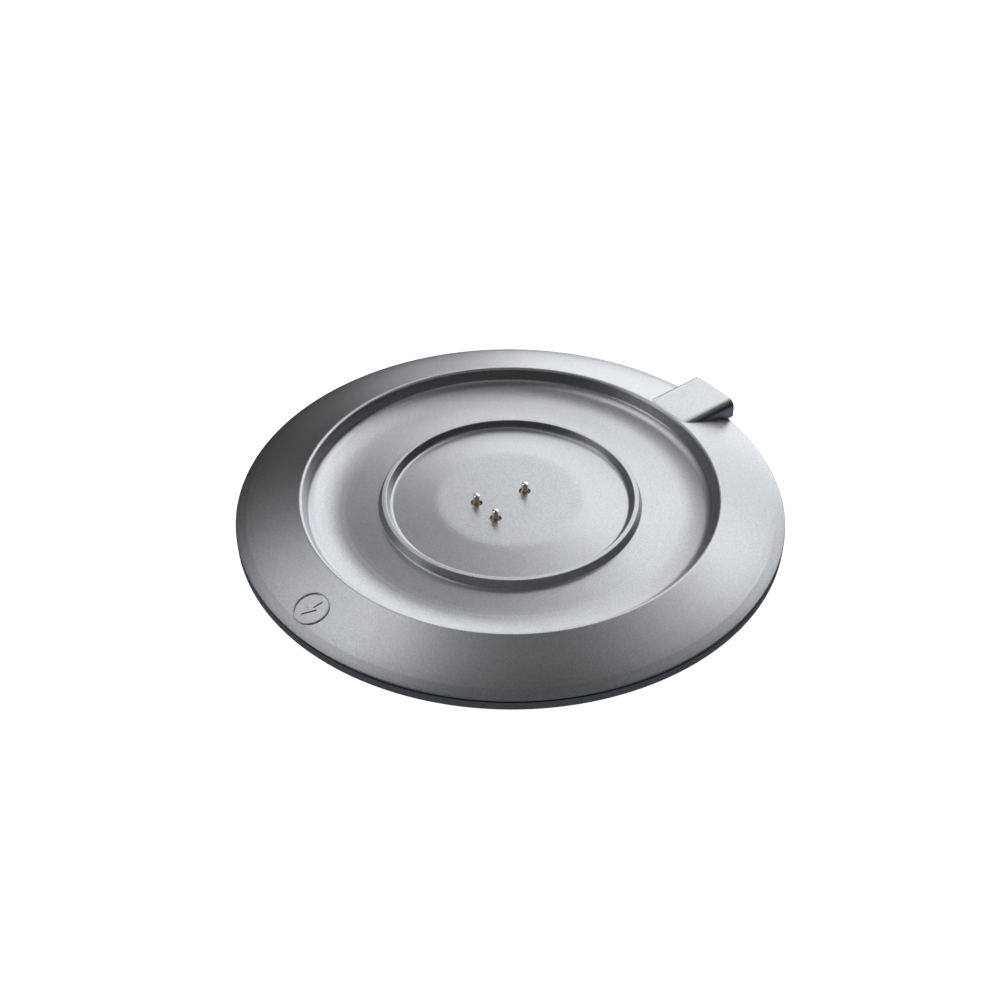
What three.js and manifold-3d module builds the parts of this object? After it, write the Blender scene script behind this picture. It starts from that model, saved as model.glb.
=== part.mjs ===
// Round charging dock for a portable speaker: a dished cover with a raised locating ring,
// three sprung contact pins, a power port in a block on the rim, and the parts inside.
// Millimetres, +Z up. The origin is on the table, under the middle of the dock.
// +Y points at the power port, -Y at the charge mark on the rim.
import * as THREE from "three";
import { mergeVertices } from "three/addons/utils/BufferGeometryUtils.js";
import Module from "manifold-3d";

const wasm = await Module();
wasm.setup();

// ---- driving dimensions -------------------------------------------------------------
const RIM_R = 80; // outer radius of the dock
const RIM_Z = 4.8; // height of the cover's outer edge
const DISH_R = 61.4; // radius of the dish's upper edge
const DISH_Z = 10.87; // height of the dish's upper edge and of the port block
const RIM_CROWN = [[DISH_R, DISH_Z], [71, 8.03], [77, 6.09], [RIM_R, RIM_Z]]; // falls ever faster outwards
const RING_Z = 8.7; // locating ring: its flat top, and the feet of its two walls
const RING_IN_R = 36.1;
const RING_OUT_R = 37.55;
const RING_IN_FOOT = [34.9, 6.38];
const RING_OUT_FOOT = [38.35, 6.25];
const CENTRE_R = 21.5; // flat centre that the contact pins stand in
const CENTRE_Z = 7.4;
const MOAT_IN_R = 48.3; // level bottom of the dish, between these radii
const MOAT_OUT_R = 50;
const MOAT_Z = 5.45;
const MOAT_BEND = 26; // the dish rises from there in a wide curve and then a tight one
const MOAT_BEND_END = 14.5; // degrees of slope where the tight curve takes over
const WALL_BEND = 6;
const WALL_BEND_END = 38; // where the tight curve ends, in degrees of slope
const WALL_FOOT_BEND = 1.5; // last curve, up to the steep wall
const WALL_SLOPE = 64; // degrees of slope of the dish wall
const EDGE_CENTRE = [61.25, 9.77]; // rounding between the wall and the rim
const EDGE_ROUND = 1.1;
const RIM_SLOPE = 16.5; // degrees that the rim falls beside the rounding
const COVER_T = 1.6; // wall of the cover
const RIM_DROP = 1.9; // wall of the rim, measured straight down
const UNDER_CENTRE_R = 22.5; // corners of the cover's underside
const UNDER_RING = [35, 4.74];
const UNDER_RIM_IN = 62;
const UNDER_RIM_OUT = 76.7;
const LEDGE_R = 77.7; // the cover's lower lip, which drops inside the shell's wall
const LEDGE_Z = 3.2;
const SEGMENTS = 48; // sides of the large round parts

const SHELL_R = 80; // bottom shell: a tray that closes the cover from below
const SHELL_BOTTOM = 1.0;
const SHELL_FLOOR = 2.4;
const SHELL_TOP = 3.9;
const SHELL_WALL = 2.0;
const SHELL_FOOT_EDGE = [[0.6, 0], [0.1, 0.4]]; // softened lower edge: inwards and upwards
const SEAM_R = 79; // bottom of the shadow groove between cover and shell
const SEAM_Z = 4.4;

const FOOT_IN = 61;
const FOOT_OUT = 73;
const FOOT_RECESS = 0.3;
const FOOT_GAP = 0.1;

const BLOCK_HALF = 9.0; // port block on the rim
const BLOCK_IN = 61.5;
const BLOCK_END = 81.5;
const BLOCK_ROUND = 2.88;
const POCKET_HALF = 6.6; // hollow of the port block
const POCKET_IN = 64;
const POCKET_END = 79.4;

const BOARD_Z = 3.0; // main board
const BOARD_T = 1.0;
const BOARD_R = 27;
const BOARD_TOP = BOARD_Z + BOARD_T;

const PORT_BOARD_Z = 3.3; // small board that carries the power port
const PORT_BOARD_TOP = PORT_BOARD_Z + BOARD_T;
const PORT_BOARD_HALF = 6.2;
const PORT_BOARD_IN = 64.5;
const PORT_BOARD_END = 77.6;

const PORT_W = 8.94; // receptacle of a reversible power plug
const PORT_H = 3.26;
const PORT_WALL = 0.3;
const PORT_LENGTH = 7.3;
const PORT_FRONT = 80.9;
const PORT_BACK = PORT_FRONT - PORT_LENGTH;
const PORT_Z = PORT_BOARD_TOP + PORT_H / 2;
const PORT_FIT = 0.3; // how much larger the block's mouth is than the receptacle
const TONGUE_HALF = 3.35;
const TONGUE_T = 0.7;

const PINS = [[-4.45, -9.0], [4.45, -9.0], [0, 5.4]]; // contact pins, an isosceles triangle
const PIN_R = 0.95;
const PIN_TOP = 10.4;
const PIN_DOME = 0.45;
const PIN_SHOULDER_R = 1.07;
const PIN_HOLE_R = 1.65;
const BARREL_R = 1.5;
const BARREL_BORE = 1.16;
const BARREL_MOUTH = 1.03;
const BARREL_BOTTOM = 2.6;
const BARREL_FLOOR = 3.0;
const BARREL_TOP = 6.9;
const BARREL_LIP = 0.4;
const BARREL_FLANGE_R = 1.95;
const BARREL_FLANGE_T = 0.4;
const SHOULDER_T = 0.7;
const SPRING_R = 0.85;
const SPRING_WIRE = 0.11;
const SPRING_TURNS = 4.5;

const CARRIER_Y = -2.5; // insulator that holds the three barrels
const CARRIER_R = 12;
const CARRIER_T = 1.2;
const GASKET_IN = 10.4;
const BARREL_FIT = 0.12; // radial room round a barrel

const BALLAST_IN = 44;
const BALLAST_OUT = 58;
const BALLAST_T = 1.1;
const BALLAST_GAP = 10; // half width of the gap that the leads run through
const PEG_R = 1.2;
const PEG_H = 0.9;
const PEG_FIT = 0.25;
const PEG_CIRCLE = 51;

const CASE_SCREW_CIRCLE = 67; // four screws driven upwards, from the shell into the cover
const CASE_BOSS_Z = 3.4; // where the shell's boss meets the cover's boss
const CASE_BOSS_TOP = 7.4;
const COVER_BOSS_R = 3.2;
const SHELL_BOSS_R = 4.2;
const CASE_HEAD_R = 2.2;
const CASE_HEAD_BOTTOM = 1.35;
const CASE_HEAD_TOP = 2.6;
const CASE_HEAD_ROOM_R = 2.5;
const CASE_SHANK_R = 1.08;
const CASE_SHANK_TOP = 6.8;
const CASE_SHANK_ROOM_R = 1.35;
const CASE_BORE_R = 1.2;

const BOARD_SCREW_CIRCLE = 23.6; // smaller screws that hold the boards down
const PORT_SCREW_X = 4.2;
const PORT_SCREW_Y = 70.6;
const SMALL_HEAD_R = 1.7;
const SMALL_HEAD_T = 0.9;
const SMALL_SHANK_R = 0.92;
const SMALL_SHANK_BOTTOM = 1.7;
const SMALL_PILOT_R = 1.05;
const SMALL_HOLE_R = 1.15;
const BOARD_POST_R = 2.3;
const PORT_POST_R = 1.9;
const SINK = 0.5; // how far posts and bosses run into the floor that they grow from

const LEAD_R = 0.5;
const LEAD_ROUTE = [ // the lead on the +X side, from the port's socket to the main board's
  [1.0, 64.7, 4.95],
  [1.0, 62.6, 4.75],
  [1.4, 58.5, 3.3],
  [2.2, 50, 3.0],
  [1.7, 41, 3.0],
  [1.3, 34, 3.3],
  [1.05, 30, 4.15],
  [1.0, 27.6, 4.62],
  [1.0, 24.5, 4.65],
];

const MARK_R = 72.3; // raised charge mark on the rim: a bolt inside a thin circle
const MARK_TURN = 3; // degrees from the point opposite the port block
const MARK_H = 0.3;
const MARK_CIRCLE = 5.3;
const MARK_LINE = 0.5;
const BOLT = [[0.85, 3.2], [-1.65, -0.5], [-0.3, -0.5], [-0.85, -3.2], [1.65, 0.5], [0.3, 0.5]];

// ---- materials ----------------------------------------------------------------------
const paint = (color, roughness, metalness) =>
  new THREE.MeshStandardMaterial({ color, roughness, metalness });
const graphite = paint(0x7c7e83, 0.42, 0.55);
const shellGrey = paint(0x5a5d64, 0.5, 0.4);
const rubber = paint(0x1c1c1e, 0.9, 0);
const steel = paint(0x9a9da2, 0.4, 0.9);
const nickel = paint(0xd9d7d0, 0.22, 1);
const gold = paint(0xcaa35a, 0.3, 1);
const springSteel = paint(0xb8b8ba, 0.35, 1);
const boardGreen = paint(0x1f4f3a, 0.55, 0.05);
const blackPlastic = paint(0x17181a, 0.6, 0);
const whitePlastic = paint(0xe6e2d6, 0.55, 0);
const ferrite = paint(0x3c3d40, 0.6, 0.2);
const ceramicTan = paint(0xb08a5a, 0.5, 0.05);
const silicone = paint(0x55585c, 0.8, 0);
const leadRed = paint(0xb3261e, 0.5, 0);
const leadBlack = paint(0x202022, 0.5, 0);

// ---- solids -------------------------------------------------------------------------
// A closed three.js geometry as a manifold solid with its faces pointing out.
function solid(geometry) {
  const loose = geometry.index ? geometry.toNonIndexed() : geometry;
  loose.deleteAttribute("normal");
  loose.deleteAttribute("uv");
  const bare = mergeVertices(loose, 1e-4);
  const place = bare.attributes.position;
  const corners = Array.from(bare.index.array);
  const faces = [];
  let volume = 0;
  const a = new THREE.Vector3();
  const b = new THREE.Vector3();
  const c = new THREE.Vector3();
  for (let i = 0; i < corners.length; i += 3) {
    const [p, q, r] = corners.slice(i, i + 3);
    if (p === q || q === r || r === p) continue;
    faces.push([p, q, r]);
    a.fromBufferAttribute(place, p);
    b.fromBufferAttribute(place, q);
    c.fromBufferAttribute(place, r);
    volume += a.dot(b.cross(c));
  }
  const outward = volume < 0 ? faces.map(([p, q, r]) => [p, r, q]) : faces;
  const mesh = new wasm.Mesh({
    numProp: 3,
    vertProperties: new Float32Array(place.array),
    triVerts: new Uint32Array(outward.flat()),
  });
  mesh.merge();
  return new wasm.Manifold(mesh);
}

const dock = new THREE.Group();

// Adds a solid to the dock as one named sub-part.
function addPart(name, body, material) {
  const mesh = body.getMesh();
  const geometry = new THREE.BufferGeometry();
  geometry.setAttribute("position", new THREE.BufferAttribute(mesh.vertProperties, 3));
  geometry.setIndex(new THREE.BufferAttribute(mesh.triVerts, 1));
  geometry.computeVertexNormals();
  const part = new THREE.Mesh(geometry, material);
  part.name = name;
  dock.add(part);
}

const addAll = (bodies) => bodies.reduce((whole, next) => whole.add(next));

// A profile of [radius, height] points turned about the Z axis.
function turned(profile, sides = SEGMENTS) {
  const points = profile.map(([r, z]) => new THREE.Vector2(r, z));
  return solid(new THREE.LatheGeometry(points, sides).rotateX(Math.PI / 2));
}

// A turned ring or sleeve: its profile closes on itself.
const turnedRing = (profile, sides = SEGMENTS) => turned([...profile, profile[0]], sides);

// An upright cylinder between two heights.
function rod(x, y, radius, low, high, sides = 16) {
  const geometry = new THREE.CylinderGeometry(radius, radius, high - low, sides);
  return solid(geometry.rotateX(Math.PI / 2).translate(x, y, (low + high) / 2));
}

function box(low, high) {
  const size = high.map((value, i) => value - low[i]);
  const middle = high.map((value, i) => (value + low[i]) / 2);
  return solid(new THREE.BoxGeometry(...size).translate(...middle));
}

// A flat outline in the XZ plane, extruded along Y from y0 to y1.
function alongY(shape, y0, y1, curveSegments) {
  const options = { depth: y1 - y0, bevelEnabled: false, curveSegments };
  return solid(new THREE.ExtrudeGeometry(shape, options).rotateX(Math.PI / 2).translate(0, y1, 0));
}

// A slot outline with round ends, centred on height z.
function slotShape(width, height, z) {
  const r = height / 2;
  const half = width / 2 - r;
  const shape = new THREE.Shape();
  shape.moveTo(-half, z - r);
  shape.lineTo(half, z - r);
  shape.absarc(half, z, r, -Math.PI / 2, Math.PI / 2, false);
  shape.lineTo(-half, z + r);
  shape.absarc(-half, z, r, Math.PI / 2, Math.PI * 1.5, false);
  return shape;
}

const onCircle = (radius, degrees) => {
  const angle = THREE.MathUtils.degToRad(degrees);
  return [radius * Math.cos(angle), radius * Math.sin(angle)];
};
const CASE_SCREWS = [45, 135, 225, 315].map((angle) => onCircle(CASE_SCREW_CIRCLE, angle));
const BOARD_SCREWS = [30, 150, 270].map((angle) => onCircle(BOARD_SCREW_CIRCLE, angle));
const PORT_SCREWS = [[-PORT_SCREW_X, PORT_SCREW_Y], [PORT_SCREW_X, PORT_SCREW_Y]];
const PEGS = [30, 150, 270].map((angle) => onCircle(PEG_CIRCLE, angle));

// ---- top cover ----------------------------------------------------------------------
// Height of the rim's upper surface at radius r.
function rimZ(r) {
  const end = RIM_CROWN.findIndex(([radius]) => radius >= r);
  const [r0, z0] = RIM_CROWN[Math.max(end - 1, 0)];
  const [r1, z1] = RIM_CROWN[Math.max(end, 1)];
  return z0 + ((z1 - z0) * (r - r0)) / (r1 - r0);
}

// Points on an arc that starts out level at its lowest point and climbs outwards.
function climb([centreR, centreZ], radius, fromDegrees, toDegrees, steps) {
  const points = [];
  for (let i = 0; i <= steps; i += 1) {
    const slope = THREE.MathUtils.degToRad(fromDegrees + ((toDegrees - fromDegrees) * i) / steps);
    points.push([centreR + radius * Math.sin(slope), centreZ - radius * Math.cos(slope)]);
  }
  return points;
}

// The dish's outer curve, at its surface or a wall thickness below it.
function dishCurve(offset) {
  const slope = THREE.MathUtils.degToRad(MOAT_BEND_END);
  const wide = [MOAT_OUT_R, MOAT_Z + MOAT_BEND];
  const apart = MOAT_BEND - WALL_BEND;
  const tight = [wide[0] + apart * Math.sin(slope), wide[1] - apart * Math.cos(slope)];
  return [
    ...climb(wide, MOAT_BEND + offset, 0, MOAT_BEND_END, 2),
    ...climb(tight, WALL_BEND + offset, MOAT_BEND_END, WALL_BEND_END, 3).slice(1),
  ];
}

// The steep wall above that curve, and the rounded edge between it and the rim.
function wallAndEdge() {
  const [footR, footZ] = dishCurve(0).at(-1);
  const start = THREE.MathUtils.degToRad(WALL_BEND_END);
  const foot = [footR - WALL_FOOT_BEND * Math.sin(start), footZ + WALL_FOOT_BEND * Math.cos(start)];
  const edge = [];
  for (let i = 0; i <= 5; i += 1) {
    const slope = THREE.MathUtils.degToRad(WALL_SLOPE - ((WALL_SLOPE + RIM_SLOPE) * i) / 5);
    edge.push([EDGE_CENTRE[0] - EDGE_ROUND * Math.sin(slope), EDGE_CENTRE[1] + EDGE_ROUND * Math.cos(slope)]);
  }
  return [...climb(foot, WALL_FOOT_BEND, WALL_BEND_END, WALL_SLOPE, 2).slice(1), ...edge];
}

function coverBody() {
  const surface = [
    [0, CENTRE_Z],
    [CENTRE_R, CENTRE_Z],
    RING_IN_FOOT,
    [RING_IN_R, RING_Z],
    [RING_OUT_R, RING_Z],
    RING_OUT_FOOT,
    [MOAT_IN_R, MOAT_Z],
    ...dishCurve(0),
    ...wallAndEdge(),
    ...RIM_CROWN.slice(1),
  ];
  const edge = [
    [RIM_R, SEAM_Z],
    [SEAM_R, SEAM_Z],
    [SEAM_R, SHELL_TOP],
    [LEDGE_R, SHELL_TOP],
    [LEDGE_R, LEDGE_Z],
    [UNDER_RIM_OUT, LEDGE_Z],
  ];
  const underside = [
    [UNDER_RIM_OUT, rimZ(UNDER_RIM_OUT) - RIM_DROP],
    [UNDER_RIM_IN, rimZ(UNDER_RIM_IN) - RIM_DROP],
    ...dishCurve(COVER_T).reverse(),
    UNDER_RING,
    [UNDER_CENTRE_R, CENTRE_Z - COVER_T],
    [0, CENTRE_Z - COVER_T],
  ];
  return turned([...surface, ...edge, ...underside]);
}

// The block that stands level with the dish edge, its two long top edges rounded.
function portBlock() {
  const shape = new THREE.Shape();
  const shoulder = BLOCK_HALF - BLOCK_ROUND;
  shape.moveTo(-BLOCK_HALF, SEAM_Z);
  shape.lineTo(BLOCK_HALF, SEAM_Z);
  shape.lineTo(BLOCK_HALF, DISH_Z - BLOCK_ROUND);
  shape.absarc(shoulder, DISH_Z - BLOCK_ROUND, BLOCK_ROUND, 0, Math.PI / 2, false);
  shape.lineTo(-shoulder, DISH_Z);
  shape.absarc(-shoulder, DISH_Z - BLOCK_ROUND, BLOCK_ROUND, Math.PI / 2, Math.PI, false);
  const roofIn = rimZ(UNDER_RIM_IN) - RIM_DROP;
  const roomUnderCover = turned([
    [0, 0],
    [UNDER_RIM_OUT, 0],
    [UNDER_RIM_OUT, rimZ(UNDER_RIM_OUT) - RIM_DROP],
    [UNDER_RIM_IN, roofIn],
    [0, roofIn],
  ]);
  return alongY(shape, BLOCK_IN, BLOCK_END, 6).subtract(roomUnderCover);
}

// A plain lightning bolt in a circle, raised from the sloping rim.
function chargeMark() {
  const bolt = new THREE.Shape(BOLT.map(([x, y]) => new THREE.Vector2(x, y)));
  const circle = new THREE.Shape();
  circle.absarc(0, 0, MARK_CIRCLE, 0, Math.PI * 2, false);
  const inside = new THREE.Path();
  inside.absarc(0, 0, MARK_CIRCLE - MARK_LINE, 0, Math.PI * 2, true);
  circle.holes.push(inside);
  const slope = Math.atan(rimZ(MARK_R) - rimZ(MARK_R + 1));
  const raised = [bolt, circle].map((shape) => {
    const options = { depth: 1 + MARK_H, bevelEnabled: false, curveSegments: 20 };
    const geometry = new THREE.ExtrudeGeometry(shape, options);
    geometry.translate(0, 0, -1).rotateX(slope).translate(0, -MARK_R, rimZ(MARK_R));
    return solid(geometry.rotateZ(THREE.MathUtils.degToRad(MARK_TURN)));
  });
  return addAll(raised);
}

function topCover() {
  const bosses = CASE_SCREWS.map(([x, y]) => rod(x, y, COVER_BOSS_R, CASE_BOSS_Z, CASE_BOSS_TOP, 12));
  const bores = CASE_SCREWS.map(([x, y]) =>
    rod(x, y, CASE_BORE_R, CASE_BOSS_Z - 1, CASE_SHANK_TOP + 0.2, 8));
  const pinHoles = PINS.map(([x, y]) => rod(x, y, PIN_HOLE_R, 4, 9));
  const pocket = box([-POCKET_HALF, POCKET_IN, 2], [POCKET_HALF, POCKET_END, DISH_Z - COVER_T]);
  const mouthShape = slotShape(PORT_W + PORT_FIT, PORT_H + PORT_FIT, PORT_Z);
  const mouth = alongY(mouthShape, POCKET_END - 1, BLOCK_END + 1, 6);
  return addAll([coverBody(), portBlock(), chargeMark(), ...bosses])
    .subtract(addAll([...bores, ...pinHoles, pocket, mouth]));
}

// ---- bottom shell, foot and ballast ---------------------------------------------------
function bottomShell() {
  const lowerEdge = SHELL_FOOT_EDGE.map(([inset, rise]) => [SHELL_R - inset, SHELL_BOTTOM + rise]);
  const tray = turned([
    [0, SHELL_BOTTOM],
    [FOOT_IN - FOOT_GAP, SHELL_BOTTOM],
    [FOOT_IN - FOOT_GAP, SHELL_BOTTOM + FOOT_RECESS],
    [FOOT_OUT + FOOT_GAP, SHELL_BOTTOM + FOOT_RECESS],
    [FOOT_OUT + FOOT_GAP, SHELL_BOTTOM],
    ...lowerEdge,
    [SHELL_R, SHELL_TOP],
    [SHELL_R - SHELL_WALL, SHELL_TOP],
    [SHELL_R - SHELL_WALL, SHELL_FLOOR],
    [0, SHELL_FLOOR],
  ]);
  const root = SHELL_FLOOR - SINK;
  const caseBosses = CASE_SCREWS.map(([x, y]) => rod(x, y, SHELL_BOSS_R, root, CASE_BOSS_Z, 12));
  const headRooms = CASE_SCREWS.map(([x, y]) => rod(x, y, CASE_HEAD_ROOM_R, 0, CASE_HEAD_TOP));
  const shankRooms = CASE_SCREWS.map(([x, y]) => rod(x, y, CASE_SHANK_ROOM_R, 0, 5, 8));
  const boardPosts = BOARD_SCREWS.map(([x, y]) => rod(x, y, BOARD_POST_R, root, BOARD_Z, 12));
  const portPosts = PORT_SCREWS.map(([x, y]) => rod(x, y, PORT_POST_R, root, PORT_BOARD_Z, 12));
  const pilots = [...BOARD_SCREWS, ...PORT_SCREWS].map(([x, y]) =>
    rod(x, y, SMALL_PILOT_R, SMALL_SHANK_BOTTOM - 0.2, 5, 8));
  const pegs = PEGS.map(([x, y]) => rod(x, y, PEG_R, root, SHELL_FLOOR + PEG_H, 12));
  return addAll([tray, ...caseBosses, ...boardPosts, ...portPosts, ...pegs])
    .subtract(addAll([...headRooms, ...shankRooms, ...pilots]));
}

function footRing() {
  const top = SHELL_BOTTOM + FOOT_RECESS;
  return turnedRing([[FOOT_IN, 0], [FOOT_OUT, 0], [FOOT_OUT, top], [FOOT_IN, top]]);
}

function ballastPlate() {
  const top = SHELL_FLOOR + BALLAST_T;
  const ring = turnedRing([
    [BALLAST_IN, SHELL_FLOOR],
    [BALLAST_OUT, SHELL_FLOOR],
    [BALLAST_OUT, top],
    [BALLAST_IN, top],
  ]);
  const gap = box([-BALLAST_GAP, 0, 0], [BALLAST_GAP, RIM_R, 8]);
  const holes = PEGS.map(([x, y]) => rod(x, y, PEG_R + PEG_FIT, 0, 8, 12));
  return ring.subtract(addAll([gap, ...holes]));
}

// ---- contact pins ---------------------------------------------------------------------
function contactPin([x, y]) {
  const shoulderTop = BARREL_TOP - BARREL_LIP;
  return turned([
    [0, shoulderTop - SHOULDER_T],
    [PIN_SHOULDER_R, shoulderTop - SHOULDER_T],
    [PIN_SHOULDER_R, shoulderTop],
    [PIN_R, shoulderTop],
    [PIN_R, PIN_TOP - PIN_DOME],
    [PIN_R * 0.8, PIN_TOP - PIN_DOME / 3],
    [PIN_R * 0.45, PIN_TOP],
    [0, PIN_TOP],
  ], 16).translate([x, y, 0]);
}

function pinBarrel([x, y]) {
  return turned([
    [0, BARREL_BOTTOM],
    [BARREL_R, BARREL_BOTTOM],
    [BARREL_R, BOARD_TOP],
    [BARREL_FLANGE_R, BOARD_TOP],
    [BARREL_FLANGE_R, BOARD_TOP + BARREL_FLANGE_T],
    [BARREL_R, BOARD_TOP + BARREL_FLANGE_T],
    [BARREL_R, BARREL_TOP],
    [BARREL_MOUTH, BARREL_TOP],
    [BARREL_MOUTH, BARREL_TOP - BARREL_LIP],
    [BARREL_BORE, BARREL_TOP - BARREL_LIP],
    [BARREL_BORE, BARREL_FLOOR],
    [0, BARREL_FLOOR],
  ], 16).translate([x, y, 0]);
}

// The wire of a coil spring that stands on the barrel's floor and carries the pin's shoulder.
class SpringCurve extends THREE.Curve {
  getPoint(t, target = new THREE.Vector3()) {
    const low = BARREL_FLOOR + SPRING_WIRE;
    const high = BARREL_TOP - BARREL_LIP - SHOULDER_T - SPRING_WIRE;
    const [x, y] = onCircle(SPRING_R, 360 * SPRING_TURNS * t);
    return target.set(x, y, low + (high - low) * t);
  }
}

function pinSpring([x, y]) {
  const wire = new THREE.Shape();
  wire.absarc(0, 0, SPRING_WIRE, 0, Math.PI * 2, false);
  const steps = Math.round(SPRING_TURNS * 8);
  const options = { steps, extrudePath: new SpringCurve(), curveSegments: 3 };
  return solid(new THREE.ExtrudeGeometry(wire, options)).translate([x, y, 0]);
}

function contactCarrier() {
  const disc = rod(0, CARRIER_Y, CARRIER_R, BOARD_TOP, BOARD_TOP + CARRIER_T, 32);
  const flangeTop = BOARD_TOP + BARREL_FLANGE_T;
  const seats = PINS.map(([x, y]) => rod(x, y, BARREL_FLANGE_R + BARREL_FIT, 3, flangeTop + BARREL_FIT));
  const bores = PINS.map(([x, y]) => rod(x, y, BARREL_R + BARREL_FIT, 3, 7));
  return disc.subtract(addAll([...seats, ...bores]));
}

function contactGasket() {
  const low = BOARD_TOP + CARRIER_T;
  const high = CENTRE_Z - COVER_T;
  const ring = turnedRing([[GASKET_IN, low], [CARRIER_R, low], [CARRIER_R, high], [GASKET_IN, high]], 32);
  return ring.translate([0, CARRIER_Y, 0]);
}

// ---- boards and their components --------------------------------------------------------
function mainBoard() {
  const disc = rod(0, 0, BOARD_R, BOARD_Z, BOARD_TOP, 36);
  const barrelHoles = PINS.map(([x, y]) => rod(x, y, BARREL_R + BARREL_FIT, 2, 6));
  const screwHoles = BOARD_SCREWS.map(([x, y]) => rod(x, y, SMALL_HOLE_R, 2, 6, 8));
  return disc.subtract(addAll([...barrelHoles, ...screwHoles]));
}

// A boxy component standing on a board, its upper edges chamfered.
function component(x, y, width, depth, low, height, chamfer) {
  const shape = new THREE.Shape();
  const half = width / 2;
  shape.moveTo(-half, low);
  shape.lineTo(half, low);
  shape.lineTo(half, low + height - chamfer);
  shape.lineTo(half - chamfer, low + height);
  shape.lineTo(chamfer - half, low + height);
  shape.lineTo(-half, low + height - chamfer);
  return alongY(shape, y - depth / 2, y + depth / 2, 1).translate([x, 0, 0]);
}

function portBoard() {
  const plate = box([-PORT_BOARD_HALF, PORT_BOARD_IN, PORT_BOARD_Z],
    [PORT_BOARD_HALF, PORT_BOARD_END, PORT_BOARD_TOP]);
  return plate.subtract(addAll(PORT_SCREWS.map(([x, y]) => rod(x, y, SMALL_HOLE_R, 2, 6, 8))));
}

function portShell() {
  const outer = alongY(slotShape(PORT_W, PORT_H, PORT_Z), PORT_BACK, PORT_FRONT, 6);
  const inner = slotShape(PORT_W - 2 * PORT_WALL, PORT_H - 2 * PORT_WALL, PORT_Z);
  return outer.subtract(alongY(inner, PORT_BACK - 1, PORT_FRONT + 1, 6));
}

// The insulator at the back of the receptacle, with the thin tongue that the plug closes on.
function portTongue() {
  const fit = 2 * PORT_WALL + 0.1;
  const plugShape = slotShape(PORT_W - fit, PORT_H - fit, PORT_Z);
  const plug = alongY(plugShape, PORT_BACK + 0.2, PORT_BACK + 1.6, 6);
  const tongue = box([-TONGUE_HALF, PORT_BACK + 1, PORT_Z - TONGUE_T / 2],
    [TONGUE_HALF, PORT_FRONT - TONGUE_T, PORT_Z + TONGUE_T / 2]);
  return plug.add(tongue);
}

// One of the two leads that carry the power from the port board to the main board.
function powerLead(side) {
  const route = LEAD_ROUTE.map(([x, y, z]) => new THREE.Vector3(side * x, y, z));
  const section = new THREE.Shape();
  section.absarc(0, 0, LEAD_R, 0, Math.PI * 2, false);
  const options = { steps: 22, extrudePath: new THREE.CatmullRomCurve3(route), curveSegments: 4 };
  return solid(new THREE.ExtrudeGeometry(section, options));
}

// ---- screws -----------------------------------------------------------------------------
// A screw driven upwards from below, its head in the bottom shell.
function caseScrew([x, y]) {
  const head = rod(x, y, CASE_HEAD_R, CASE_HEAD_BOTTOM, CASE_HEAD_TOP, 12);
  return head.add(rod(x, y, CASE_SHANK_R, CASE_HEAD_TOP - 0.2, CASE_SHANK_TOP, 8));
}

// A screw driven downwards through a board into a post of the bottom shell.
function boardScrew([x, y], boardTop) {
  const head = rod(x, y, SMALL_HEAD_R, boardTop, boardTop + SMALL_HEAD_T, 12);
  return head.add(rod(x, y, SMALL_SHANK_R, SMALL_SHANK_BOTTOM, boardTop + 0.2, 8));
}

// ---- the dock ---------------------------------------------------------------------------
addPart("top_cover", topCover(), graphite);
addPart("bottom_shell", bottomShell(), shellGrey);
addPart("foot_ring", footRing(), rubber);
addPart("ballast_plate", ballastPlate(), steel);

PINS.forEach((place, i) => {
  addPart(`contact_pin_${i + 1}`, contactPin(place), nickel);
  addPart(`pin_barrel_${i + 1}`, pinBarrel(place), gold);
  addPart(`pin_spring_${i + 1}`, pinSpring(place), springSteel);
});
addPart("contact_carrier", contactCarrier(), blackPlastic);
addPart("contact_gasket", contactGasket(), silicone);

addPart("main_board", mainBoard(), boardGreen);
addPart("controller_chip", component(17, -4, 4, 4, BOARD_TOP, 0.9, 0.12), blackPlastic);
addPart("power_inductor", component(-17.2, 2.5, 5, 5, BOARD_TOP, 1.3, 0.3), ferrite);
addPart("capacitor_1", component(16.6, 3.2, 3.2, 1.6, BOARD_TOP, 1.2, 0.1), ceramicTan);
addPart("capacitor_2", component(-16.6, -3.6, 3.2, 1.6, BOARD_TOP, 1.2, 0.1), ceramicTan);
addPart("board_connector", component(0, 22.6, 6, 3.4, BOARD_TOP, 1.3, 0.15), whitePlastic);

addPart("port_board", portBoard(), boardGreen);
addPart("port_connector", component(0, 66.7, 6, 3.4, PORT_BOARD_TOP, 1.3, 0.15), whitePlastic);
addPart("port_shell", portShell(), steel);
addPart("port_tongue", portTongue(), blackPlastic);
addPart("power_lead_red", powerLead(-1), leadRed);
addPart("power_lead_black", powerLead(1), leadBlack);

CASE_SCREWS.forEach((place, i) => addPart(`case_screw_${i + 1}`, caseScrew(place), steel));
BOARD_SCREWS.forEach((place, i) => addPart(`board_screw_${i + 1}`, boardScrew(place, BOARD_TOP), steel));
PORT_SCREWS.forEach((place, i) => addPart(`port_screw_${i + 1}`, boardScrew(place, PORT_BOARD_TOP), steel));

export default dock;
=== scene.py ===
"""Round charging dock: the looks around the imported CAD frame.

Lengths are in millimetres until MM scales them, except in the materials and the stage, which are in metres.
"""
import math

import bmesh
import bpy
from mathutils import Matrix, Vector


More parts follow.
